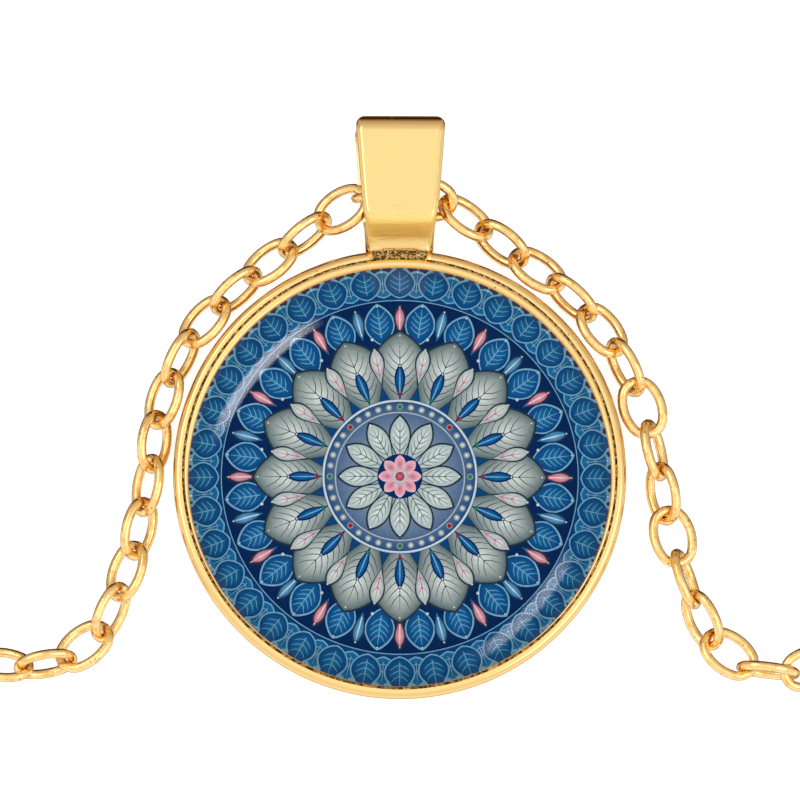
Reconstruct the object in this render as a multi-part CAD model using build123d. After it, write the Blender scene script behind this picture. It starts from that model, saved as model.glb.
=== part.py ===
from build123d import *
import math
import os

# A cabochon pendant on a cable chain, in millimetres, lying face up on a flat surface.
# The origin is the centre of the tray's flat back, +Y points from it to the bail, and +Z
# is up, out of the face. The tray and its bail are one casting. A printed card lies on
# the tray's floor, a domed glass stands on the card, and the chain runs through the bail.

# Glass and card
GLASS_DIAMETER = 24.8
GLASS_HEIGHT = 5.6
GLASS_GIRDLE = 1.0
GLASS_CHAMFER = 0.25
CARD_THICKNESS = 0.3
LAYER_GAP = 0.05
SEAT_CLEARANCE = 0.1

# Tray, from the glass outwards: a thin inner lip, a groove, and the rounded outer ring
FLOOR_THICKNESS = 0.8
TRAY_HEIGHT = 2.2
LIP_THICKNESS = 0.3
LIP_RISE = 0.25
LIP_ROUND = 0.12
GROOVE_WIDTH = 0.12
GROOVE_DEPTH = 0.3
RING_WIDTH = 0.55
RING_ROUND = 0.42
BACK_BEVEL = 0.25

# Bail: a flat strap that rises from the rim, runs outwards, turns back and lies level
# with the tray's back
BAIL_LENGTH = 7.75
BAIL_END_WIDTH = 5.4
BAIL_ROOT_WIDTH = 4.1
BAIL_HEIGHT = 4.75
BAIL_WALL = 0.8
BAIL_NOSE = 1.55
BAIL_EDGE = 0.36
BEND_OUTER = 1.0
BEND_INNER = 0.45
FOOT_RUN = 1.45
FOOT_HOLLOW = 0.5
FOOT_FLARE = 0.35
FLARE_AREA = 1.4
POCKET_WIDTH = 3.3

# Chain: drawn wire bent into ovals whose ends are rounder than their sides
WIRE = 0.58
LINK_LENGTH = 4.12
LINK_WIDTH = 2.85
LINK_END_RADIUS = 1.0
LINK_PITCH = 2.64
CHAIN_CLEARANCE = 0.12

# Clasp: a plain oval ring with a thicker sleeve on one side
CLASP_LENGTH = 10.5
CLASP_WIDTH = 5.6
CLASP_WIRE = 0.8
SLEEVE_DIAMETER = 1.5
SLEEVE_LENGTH = 3.6
CLASP_PLAY = 0.28

# The chain's closed route in plan: from inside the bail down the left of the tray, round
# the neck opening and back up the right
CHAIN_ROUTE = [
    (0.3, 16.9), (-2.4, 16.5), (-4.75, 15.15), (-8.05, 12.5), (-11.6, 9.3), (-13.8, 5.4),
    (-14.7, 1.3), (-15.05, -1.4), (-15.7, -4.2), (-16.7, -7.4), (-18.6, -10.5),
    (-21.0, -11.5), (-25.0, -11.2), (-34.0, -8.0), (-46.0, 3.5), (-55.5, 20.0),
    (-61.0, 43.0), (-59.5, 69.0), (-51.0, 93.0), (-34.5, 112.0), (-14.0, 122.0),
    (0.0, 123.5), (14.0, 122.0), (34.5, 112.0), (51.0, 93.0), (59.5, 69.0),
    (61.0, 43.0), (55.5, 20.0), (46.0, 3.5), (34.5, -8.3), (25.5, -11.3),
    (21.8, -11.8), (19.4, -10.8), (17.4, -7.4), (16.1, -3.2), (15.2, 1.4),
    (14.2, 4.95), (12.5, 8.25), (9.7, 11.25), (6.3, 13.75), (3.0, 16.15),
]

# How far each link is rolled about its own length, in degrees, counted from the bail. A
# plus sign lifts the side that faces into the loop. The hidden links alternate.
LEFT_ROLLS = [80, 20, -66, 38, -62, 38, -63, 45, -50, 55, -50, 42, -57, 26, -67, 42]
RIGHT_ROLLS = [-28, 43, -54, 35, -64, 32, -65, 0, 65, -54, 9, 69, -54, 17, 94, -20]
HIDDEN_ROLLS = [-45, 45]
CLASP_ROLL = -28

# Worked out from the sizes above
glass_radius = GLASS_DIAMETER / 2
seat_radius = glass_radius + SEAT_CLEARANCE
lip_radius = seat_radius + LIP_THICKNESS
groove_radius = lip_radius + GROOVE_WIDTH
tray_radius = groove_radius + RING_WIDTH
root_y = groove_radius + GROOVE_WIDTH
bail_end = tray_radius + BAIL_LENGTH
card_bottom = FLOOR_THICKNESS + LAYER_GAP
glass_bottom = card_bottom + CARD_THICKNESS + LAYER_GAP

# A link's centre line: two end arcs and two side arcs that run into each other
link_reach = (LINK_LENGTH - WIRE) / 2
link_half = (LINK_WIDTH - WIRE) / 2
end_centre = link_reach - LINK_END_RADIUS
side_radius = (end_centre**2 + link_half**2 - LINK_END_RADIUS**2) / (2 * (link_half - LINK_END_RADIUS))
side_centre = side_radius - link_half
join_angle = math.degrees(math.atan2(side_centre, end_centre))

# The clasp's centre line: two half circles and two straight sides
clasp_half = (CLASP_WIDTH - CLASP_WIRE) / 2
clasp_centre = (CLASP_LENGTH - CLASP_WIRE) / 2 - clasp_half


def tray():
    """The round tray, turned from one section: bevelled back, rounded ring, groove and lip."""
    lip_top = TRAY_HEIGHT + LIP_RISE
    lip_side = lip_top - LIP_ROUND
    ring_side = TRAY_HEIGHT - RING_ROUND
    with BuildPart() as turned:
        with BuildSketch(Plane.XZ):
            with BuildLine():
                Polyline(
                    (seat_radius, lip_side),
                    (seat_radius, FLOOR_THICKNESS),
                    (0, FLOOR_THICKNESS),
                    (0, 0),
                    (tray_radius - BACK_BEVEL, 0),
                    (tray_radius, BACK_BEVEL),
                    (tray_radius, ring_side),
                )
                RadiusArc((tray_radius, ring_side), (tray_radius - RING_ROUND, TRAY_HEIGHT), -RING_ROUND)
                Polyline(
                    (tray_radius - RING_ROUND, TRAY_HEIGHT),
                    (groove_radius, TRAY_HEIGHT),
                    (groove_radius, TRAY_HEIGHT - GROOVE_DEPTH),
                    (lip_radius, TRAY_HEIGHT - GROOVE_DEPTH),
                    (lip_radius, lip_side),
                )
                RadiusArc((lip_radius, lip_side), (lip_radius - LIP_ROUND, lip_top), -LIP_ROUND)
                Line((lip_radius - LIP_ROUND, lip_top), (seat_radius + LIP_ROUND, lip_top))
                RadiusArc((seat_radius + LIP_ROUND, lip_top), (seat_radius, lip_side), -LIP_ROUND)
            make_face()
        revolve(axis=Axis.Z)
    return turned.part


def bail_side():
    """The bail's outline from the side, in Y and Z, with the space for the chain cut out."""
    hole_start = tray_radius + BAIL_NOSE
    hole_end = bail_end - BAIL_WALL
    hole_top = BAIL_HEIGHT - BAIL_WALL
    with BuildSketch(Plane.YZ) as side:
        with BuildLine():
            outline = FilletPolyline(
                (root_y, 0),
                (bail_end, 0),
                (bail_end, BAIL_HEIGHT),
                (tray_radius + FOOT_RUN, BAIL_HEIGHT),
                (tray_radius + FOOT_HOLLOW, TRAY_HEIGHT),
                (root_y, TRAY_HEIGHT),
                radius=[BEND_OUTER, BEND_OUTER, BEND_OUTER, FOOT_HOLLOW],
            )
            Line(outline @ 1, outline @ 0)
        make_face()
        with Locations(((hole_start + hole_end) / 2, (BAIL_WALL + hole_top) / 2)):
            RectangleRounded(hole_end - hole_start, hole_top - BAIL_WALL, BEND_INNER, mode=Mode.SUBTRACT)
    return side.sketch


def strap_plan():
    """The bail's outline from above: a strap that widens outwards."""
    corners = [
        (-BAIL_ROOT_WIDTH / 2, root_y),
        (BAIL_ROOT_WIDTH / 2, root_y),
        (BAIL_END_WIDTH / 2, bail_end),
        (-BAIL_END_WIDTH / 2, bail_end),
    ]
    with BuildSketch() as plan:
        Polygon(*corners, align=None)
    return plan.sketch


def bail():
    """The bail: its side outline made solid, trimmed to its plan, with rounded side edges."""
    across = extrude(Pos(-BAIL_END_WIDTH, 0, 0) * bail_side(), 2 * BAIL_END_WIDTH)
    strap = across & extrude(strap_plan(), BAIL_HEIGHT)
    front_edges = strap.edges().filter_by(lambda e: e.center().Z > BAIL_HEIGHT - BAIL_EDGE)
    side_edges = front_edges.filter_by(lambda e: abs(e.center().X) > BAIL_ROOT_WIDTH / 2)
    return fillet(side_edges, BAIL_EDGE)


def foot_flares():
    """The small fillets on the rim at both sides of the bail's foot."""
    with BuildSketch() as plan:
        Circle(tray_radius)
        add(strap_plan())
        feet = plan.vertices().filter_by(lambda v: root_y < v.Y < tray_radius)
        fillet(feet, FOOT_FLARE)
        Circle(tray_radius - FOOT_FLARE / 2, mode=Mode.SUBTRACT)
        with Locations((0, tray_radius)):
            Rectangle(BAIL_ROOT_WIDTH + FLARE_AREA / 2, FLARE_AREA, mode=Mode.INTERSECT)
    return extrude(plan.sketch, TRAY_HEIGHT - RING_ROUND)


def tray_with_bail():
    """Tray and bail as the one casting they are, with the rough pocket at the bail's foot."""
    ring_depth = tray_radius - lip_radius
    above = Box(POCKET_WIDTH, ring_depth, 2 * GROOVE_DEPTH)
    pocket = Pos(0, lip_radius + ring_depth / 2, TRAY_HEIGHT) * above
    tall = 2 * BAIL_HEIGHT
    ring = Cylinder(tray_radius, tall) - Cylinder(lip_radius, tall)
    return tray() + bail() + foot_flares() - (pocket & ring)


def printed_card():
    """The round card under the glass, with the picture on its upper side."""
    return Pos(0, 0, card_bottom) * Cylinder(
        glass_radius, CARD_THICKNESS, align=(Align.CENTER, Align.CENTER, Align.MIN)
    )


def glass_dome():
    """The flat-backed glass: a short upright girdle under a part of a ball."""
    dome_rise = GLASS_HEIGHT - GLASS_GIRDLE
    ball_radius = (glass_radius**2 + dome_rise**2) / (2 * dome_rise)
    girdle_top = glass_bottom + GLASS_GIRDLE
    top = glass_bottom + GLASS_HEIGHT
    with BuildPart() as turned:
        with BuildSketch(Plane.XZ):
            with BuildLine():
                Polyline(
                    (0, top),
                    (0, glass_bottom),
                    (glass_radius - GLASS_CHAMFER, glass_bottom),
                    (glass_radius, glass_bottom + GLASS_CHAMFER),
                    (glass_radius, girdle_top),
                )
                RadiusArc((glass_radius, girdle_top), (0, top), -ball_radius)
            make_face()
        revolve(axis=Axis.Z)
    return turned.part


def link():
    """One link lying flat along X: round wire bent along two end arcs and two side arcs."""
    with BuildLine() as centre_line:
        CenterArc((end_centre, 0), LINK_END_RADIUS, -join_angle, 2 * join_angle)
        CenterArc((0, -side_centre), side_radius, join_angle, 180 - 2 * join_angle)
        CenterArc((-end_centre, 0), LINK_END_RADIUS, 180 - join_angle, 2 * join_angle)
        CenterArc((0, side_centre), side_radius, 180 + join_angle, 180 - 2 * join_angle)
    section = Plane((0, link_half, 0), x_dir=(0, 1, 0), z_dir=(1, 0, 0)) * Circle(WIRE / 2)
    return sweep(section, centre_line.wire())


def clasp():
    """The clasp lying flat along X: an oval ring of round wire with a sleeve on one side."""
    with BuildLine() as centre_line:
        CenterArc((clasp_centre, 0), clasp_half, -90, 180)
        Line((clasp_centre, clasp_half), (-clasp_centre, clasp_half))
        CenterArc((-clasp_centre, 0), clasp_half, 90, 180)
        Line((-clasp_centre, -clasp_half), (clasp_centre, -clasp_half))
    section = Plane((0, clasp_half, 0), x_dir=(0, 1, 0), z_dir=(-1, 0, 0)) * Circle(CLASP_WIRE / 2)
    sleeve = Pos(0, -clasp_half, 0) * Rot(0, 90, 0) * Cylinder(SLEEVE_DIAMETER / 2, SLEEVE_LENGTH)
    return sweep(section, centre_line.wire()) + sleeve


def link_rest(roll, pitch):
    """How far a link reaches below its own centre when it is rolled and pitched, in radians."""
    along = abs(math.sin(pitch))
    across = abs(math.sin(roll) * math.cos(pitch))
    slope = math.hypot(along, across)
    if math.atan2(across, along) < math.radians(join_angle):
        return along * end_centre + slope * LINK_END_RADIUS + WIRE / 2
    return slope * side_radius - across * side_centre + WIRE / 2


def clasp_rest(roll, pitch):
    """The same for the clasp."""
    along = abs(math.sin(pitch))
    across = abs(math.sin(roll) * math.cos(pitch))
    return along * clasp_centre + math.hypot(along, across) * clasp_half + CLASP_WIRE / 2


def chain_pieces(count):
    """Kind, roll and height of what lies under it, for each link and for the clasp."""
    hidden = count - len(LEFT_ROLLS) - len(RIGHT_ROLLS)
    left = 2 * round(hidden / 4)
    going = LEFT_ROLLS + [HIDDEN_ROLLS[i % 2] for i in range(left)]
    coming = RIGHT_ROLLS + [HIDDEN_ROLLS[(i + 1) % 2] for i in range(hidden - left)]
    pieces = [("link", roll, 0) for roll in going]
    pieces += [("clasp", CLASP_ROLL, 0)]
    pieces += [("link", roll, 0) for roll in reversed(coming)]
    strap_top = BAIL_WALL + CHAIN_CLEARANCE
    pieces[0] = ("link", LEFT_ROLLS[0], strap_top)
    pieces[-1] = ("link", RIGHT_ROLLS[0], strap_top)
    return pieces


def chain_places():
    """Where each link and the clasp lies along the route: a list of kinds and planes."""
    route = Spline(*CHAIN_ROUTE, periodic=True)
    hook = WIRE / 2 + CLASP_WIRE / 2 + CLASP_PLAY - (link_reach - LINK_PITCH / 2)
    clasp_span = CLASP_LENGTH - CLASP_WIRE - 2 * hook
    # An odd number of links, so that the two beside the clasp are rolled the same way
    count = 2 * round((route.length - clasp_span) / LINK_PITCH / 2 - 0.5) + 1
    step = (route.length - clasp_span) / count
    span = {"link": step, "clasp": clasp_span}
    rest = {"link": link_rest, "clasp": clasp_rest}
    pieces = chain_pieces(count)

    # Neighbours meet at the level of the one that stands higher
    levels = [under + rest[kind](math.radians(roll), 0) for kind, roll, under in pieces]
    meeting_levels = [max(pair) for pair in zip([levels[-1]] + levels, levels + [levels[0]])]
    stops = [0]
    for kind, roll, under in pieces:
        stops.append(stops[-1] + span[kind])
    joints = []
    for stop, level in zip(stops, meeting_levels):
        place = route.position_at(stop % route.length, PositionMode.LENGTH)
        joints.append(Vector(place.X, place.Y, level))

    places = []
    for (kind, roll, under), start, end in zip(pieces, joints, joints[1:]):
        along = (end - start).normalized()
        centre = (start + end) / 2
        lowest = under + rest[kind](math.radians(roll), math.asin(along.Z))
        centre = Vector(centre.X, centre.Y, max(centre.Z, lowest))
        side = Vector(0, 0, 1).cross(along).normalized().rotate(Axis((0, 0, 0), along), roll)
        places.append((kind, Plane(centre, x_dir=along, z_dir=along.cross(side))))
    print("chain route", round(route.length, 1), "mm,", count, "links,", round(step, 3), "mm each")
    return places


def write(shape, name):
    """Write one piece of the pendant to its own file."""
    export_step(shape, f"parts/{name}.step")
    print(name, "solids", len(shape.solids()), "volume", round(sum(s.volume for s in shape.solids()), 2))


places = chain_places()
flat_link = link()
links = [plane.location * flat_link for kind, plane in places if kind == "link"]
clasp_place = [plane for kind, plane in places if kind == "clasp"][0]

os.makedirs("parts", exist_ok=True)
write(tray_with_bail(), "tray_with_bail")
write(printed_card(), "printed_card")
write(glass_dome(), "glass_cabochon")
write(Compound(links), "chain")
write(clasp_place.location * clasp(), "clasp")
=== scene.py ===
"""A cabochon pendant on a cable chain: the finished looks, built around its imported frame."""
import math

import bmesh
import bpy
import numpy as np
from bpy.props import FloatProperty, FloatVectorProperty, IntProperty, PointerProperty
from mathutils import Matrix, Vector


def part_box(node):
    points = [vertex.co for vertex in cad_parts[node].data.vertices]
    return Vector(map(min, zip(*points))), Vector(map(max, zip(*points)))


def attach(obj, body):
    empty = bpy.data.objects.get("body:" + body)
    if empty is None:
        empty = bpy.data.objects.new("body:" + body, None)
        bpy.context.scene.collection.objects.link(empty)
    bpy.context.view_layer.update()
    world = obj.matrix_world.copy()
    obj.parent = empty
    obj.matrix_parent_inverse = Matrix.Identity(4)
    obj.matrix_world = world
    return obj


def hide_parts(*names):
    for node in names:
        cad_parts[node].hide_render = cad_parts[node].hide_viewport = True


bl_info = {
    "name": "Cabochon pendant necklace",
    "version": (1, 0, 0),
    "blender": (4, 5, 0),
    "location": "3D View > Sidebar > Pendant",
    "description": "Builds a glass cabochon pendant in a gold-tone tray, its chain and its studio",
    "category": "Add Mesh",
}

MM = 0.001
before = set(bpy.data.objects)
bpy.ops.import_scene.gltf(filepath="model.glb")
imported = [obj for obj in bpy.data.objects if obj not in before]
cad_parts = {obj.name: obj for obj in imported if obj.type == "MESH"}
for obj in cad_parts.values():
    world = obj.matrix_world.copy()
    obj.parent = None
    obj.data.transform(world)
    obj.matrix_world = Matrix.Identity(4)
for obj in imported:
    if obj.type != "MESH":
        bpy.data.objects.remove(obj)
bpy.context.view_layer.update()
_, glass_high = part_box("glass_cabochon")
_, card_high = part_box("printed_card")
tray_low, tray_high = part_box("tray_with_bail")
# The seat, with the print and the glass in it, lies a little below the ring's centre, as in the photo
SEAT_SHIFT = -0.2 * MM


def linear(hex_code):
    """An sRGB hex colour as the linear values that a shader takes."""
    parts = [int(hex_code[i : i + 2], 16) / 255 for i in (1, 3, 5)]
    light = [c / 12.92 if c <= 0.04045 else ((c + 0.055) / 1.055) ** 2.4 for c in parts]
    return (*light, 1.0)


def size_prop(label, about, metres):
    """A length in the sidebar."""
    return FloatProperty(name=label, description=about, default=metres, unit="LENGTH", precision=5)


def angle_prop(label, about, degrees):
    """An angle in the sidebar."""
    return FloatProperty(name=label, description=about, default=math.radians(degrees), unit="ROTATION")


def colour_prop(label, about, hex_code):
    """A colour in the sidebar."""
    return FloatVectorProperty(
        name=label, description=about, default=linear(hex_code), subtype="COLOR", size=4, min=0.0
    )


class CastingSizes(bpy.types.PropertyGroup):
    tray_radius: size_prop("Tray radius", "Outer radius of the round tray", -tray_low.y)
    tray_height: size_prop("Tray height", "Height of the outer ring's top", 2.2 * MM)
    floor: size_prop("Floor", "Thickness of the tray's floor", 0.8 * MM)
    seat_radius: size_prop("Seat radius", "Inner radius of the lip round the glass", 12.58 * MM)
    lip_wall: size_prop("Lip wall", "Thickness of the inner lip", 0.22 * MM)
    lip_rise: size_prop("Lip rise", "How far the lip stands over the ring", 0.25 * MM)
    lip_round: size_prop("Lip round", "Rounding of the lip's top", 0.1 * MM)
    groove_width: size_prop("Groove width", "Width of the groove round the lip", 0.12 * MM)
    groove_depth: size_prop("Groove depth", "Depth of the groove", 0.14 * MM)
    pocket_depth: size_prop("Pocket depth", "Depth of the pocket at the bail's foot", 0.25 * MM)
    draft: size_prop("Draft", "How far the outer wall leans in towards the back", 0.36 * MM)
    ring_round: size_prop("Ring round", "Rounding of the outer ring", 0.42 * MM)
    back_bevel: size_prop("Back bevel", "Bevel round the flat back", 0.25 * MM)
    bail_end: size_prop("Bail end", "Distance of the bail's outer end from the centre", tray_high.y)
    bail_height: size_prop("Bail height", "Height of the bail's flat front", tray_high.z)
    bail_end_width: size_prop("Bail end width", "Width of the strap at its outer end", 5.4 * MM)
    bail_root_width: size_prop("Bail root width", "Width of the strap at the rim", 4.1 * MM)
    bail_wall: size_prop("Bail wall", "Thickness of the strap", 0.8 * MM)
    bail_nose: size_prop("Bail nose", "Solid stretch between the rim and the strap's hole", 1.55 * MM)
    bail_edge: size_prop("Bail edge", "Rounding of the strap's side edges", 0.36 * MM)
    bail_corner: size_prop("Bail corner", "Further rounding of the strap's end corners", 0.24 * MM)
    bend_outer: size_prop("Bend outside", "Outer radius of the strap's bends", 1.0 * MM)
    bend_inner: size_prop("Bend inside", "Inner radius of the strap's bends", 0.45 * MM)
    foot_run: size_prop("Foot run", "How far the strap's foot runs before it is level", 1.35 * MM)
    foot_pinch: size_prop("Foot pinch", "How much narrower each side of the strap is at its foot", 0.2 * MM)
    foot_reach: size_prop("Foot reach", "How far the strap's foot is level beside the rim", 0.5 * MM)
    foot_hollow: size_prop("Foot hollow", "Radius of the hollow at the strap's foot", 0.85 * MM)
    foot_bend: size_prop("Foot bend", "Radius of the bend over the strap's foot", 0.9 * MM)
    foot_flare: size_prop("Foot flare", "Radius of the flares at both sides of the foot", 0.35 * MM)
    pocket_width: size_prop("Pocket width", "Width of the rough pocket at the foot", 3.3 * MM)


class GlassSizes(bpy.types.PropertyGroup):
    radius: size_prop("Radius", "Radius of the glass", glass_high.x + 0.16 * MM)
    bottom: size_prop("Bottom", "Height of the flat back, glued round the ink", card_high.z + 0.0004 * MM)
    top: size_prop("Top", "Height of the dome's top", glass_high.z)
    girdle: size_prop("Girdle", "Height of the upright wall", 1.0 * MM)
    chamfer: size_prop("Chamfer", "Chamfer round the flat back", 0.25 * MM)
    edge_round: size_prop("Edge round", "Softening of the edge over the girdle", 0.08 * MM)


class PictureLook(bpy.types.PropertyGroup):
    radius: size_prop("Radius", "Radius of the printed card", card_high.x)
    height: size_prop("Height", "Height of the card's upper side", card_high.z)
    ply: size_prop("Ply", "Height between one printed shape and the next over it", 0.0011 * MM)
    night: colour_prop("Night", "Deep blue at the rim", "#052A60")
    royal: colour_prop("Royal", "Middle blue", "#0A4A8C")
    bright: colour_prop("Bright", "Bright blue", "#1B7ABA")
    sky: colour_prop("Sky", "Pale blue", "#7CB9DC")
    silver: colour_prop("Silver", "Silver grey", "#B0C4C6")
    pale: colour_prop("Pale", "Nearly white", "#E8F4F2")
    grey: colour_prop("Grey", "Middle grey", "#5C7479")
    slate: colour_prop("Slate", "Dark grey blue", "#27384A")
    rose: colour_prop("Rose", "Rose pink", "#CF6F92")
    blush: colour_prop("Blush", "Pale pink", "#F2C3D0")
    ruby: colour_prop("Ruby", "Small red dots", "#B01F2E")
    leaf: colour_prop("Leaf", "Small green dots", "#1E8A50")


class ChainSizes(bpy.types.PropertyGroup):
    wire: size_prop("Wire", "Diameter of the wire", 0.58 * MM)
    length: size_prop("Link length", "Outer length of a link", 3.88 * MM)
    width: size_prop("Link width", "Outer width of a link", 2.85 * MM)
    end_radius: size_prop("End radius", "Radius of a link's end arcs at the centre line", 1.0 * MM)
    near_reach: size_prop("Near reach", "Links within this distance of the tray are made finer", 32 * MM)
    seed: IntProperty(name="Seed", description="Seed of the small differences in size", default=7)


class StudioSettings(bpy.types.PropertyGroup):
    tilt: angle_prop("Tilt", "How far the camera leans from straight above, away from the bail", 8.5)
    lean: angle_prop("Lean", "How far the camera leans to the left", 1.2)
    distance: FloatProperty(name="Distance", description="Camera distance", default=0.6, unit="LENGTH")
    view_width: size_prop("View width", "Width of the picture at the floor", 47.7 * MM)
    centre_x: size_prop("Centre across", "Middle of the picture across", 0.05 * MM)
    centre_y: size_prop("Centre along", "Middle of the picture along the pendant", 4.71 * MM)
    tent: FloatProperty(name="Tent", description="Brightness of the white tent", default=1.0, min=0.0)
    veil: FloatProperty(name="Veil", description="Brightness of the tent in the glass", default=0.1, min=0.0)
    strip: FloatProperty(name="Strip", description="Brightness of the two strips", default=19.0, min=0.0)
    box: FloatProperty(name="Box", description="Brightness of the two soft boxes", default=2.2, min=0.0)


def set_inputs(node, inputs):
    """Give each named or numbered input a value or a link. A node is linked from its first output."""
    for name, value in inputs.items():
        if isinstance(value, bpy.types.Node):
            value = value.outputs[0]
        if isinstance(value, bpy.types.NodeSocket):
            node.id_data.links.new(value, node.inputs[name])
        else:
            node.inputs[name].default_value = value


def add_node(tree, kind, settings=None, inputs=None):
    """Add a node with its options, its values and its links."""
    node = tree.nodes.new(kind)
    for name, value in (settings or {}).items():
        setattr(node, name, value)
    set_inputs(node, inputs or {})
    return node


def new_material(name):
    """A material with only its Principled shader and output: the material, its tree and the shader."""
    material = bpy.data.materials.new(name)
    material.use_nodes = True
    tree = material.node_tree
    tree.nodes.clear()
    shader = add_node(tree, "ShaderNodeBsdfPrincipled")
    add_node(tree, "ShaderNodeOutputMaterial", None, {"Surface": shader})
    return material, tree, shader


def per(millimetres):
    """The texture scale that repeats once in this many millimetres."""
    return 1 / (millimetres * MM)


def arc(centre, radius, start, end, steps):
    """Points on an arc, from one angle to the other, both in degrees."""
    angles = [math.radians(start + (end - start) * i / steps) for i in range(steps + 1)]
    return [(centre[0] + radius * math.cos(a), centre[1] + radius * math.sin(a)) for a in angles]


def around(count, offset=0.0):
    """Evenly spaced angles round the circle."""
    return [2 * math.pi * (k + offset) / count for k in range(count)]


def lathe(profile, count):
    """Points and faces of a profile turned round Z. It starts and ends on the axis, going outwards first."""
    points = [(0.0, 0.0, profile[0][1])]
    rows = profile[1:-1]
    for radius, height in rows:
        points += [(radius * math.cos(turn), radius * math.sin(turn), height) for turn in around(count)]
    points.append((0.0, 0.0, profile[-1][1]))
    last = len(points) - 1
    faces = []
    for k in range(count):
        ahead = (k + 1) % count
        faces.append((0, 1 + ahead, 1 + k))
        for row in range(len(rows) - 1):
            low = 1 + row * count
            high = low + count
            faces.append((low + k, low + ahead, high + ahead, high + k))
        low = 1 + (len(rows) - 1) * count
        faces.append((low + k, low + ahead, last))
    return points, faces


def add_object(name, data):
    """A new object in the scene."""
    item = bpy.data.objects.new(name, data)
    bpy.context.scene.collection.objects.link(item)
    return item


def make_piece(name, points, faces, material, flat=False):
    """A mesh object in place: smooth, with its faces pointing outwards, or flat, with them facing up."""
    mesh = bpy.data.meshes.new(name)
    mesh.from_pydata(points, [], faces)
    shell = bmesh.new()
    shell.from_mesh(mesh)
    if not flat:
        bmesh.ops.recalc_face_normals(shell, faces=shell.faces)
    for face in shell.faces:
        face.smooth = not flat
        if flat and face.normal.z < 0:
            face.normal_flip()
    shell.to_mesh(mesh)
    shell.free()
    mesh.materials.append(material)
    return add_object(name, mesh)


def place_piece(piece, slot_name, *nodes):
    """The piece moves with the pendant and stands for the nodes, which it hides; slot_name is not used."""
    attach(piece, "root")
    if nodes:
        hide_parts(*nodes)


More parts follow.
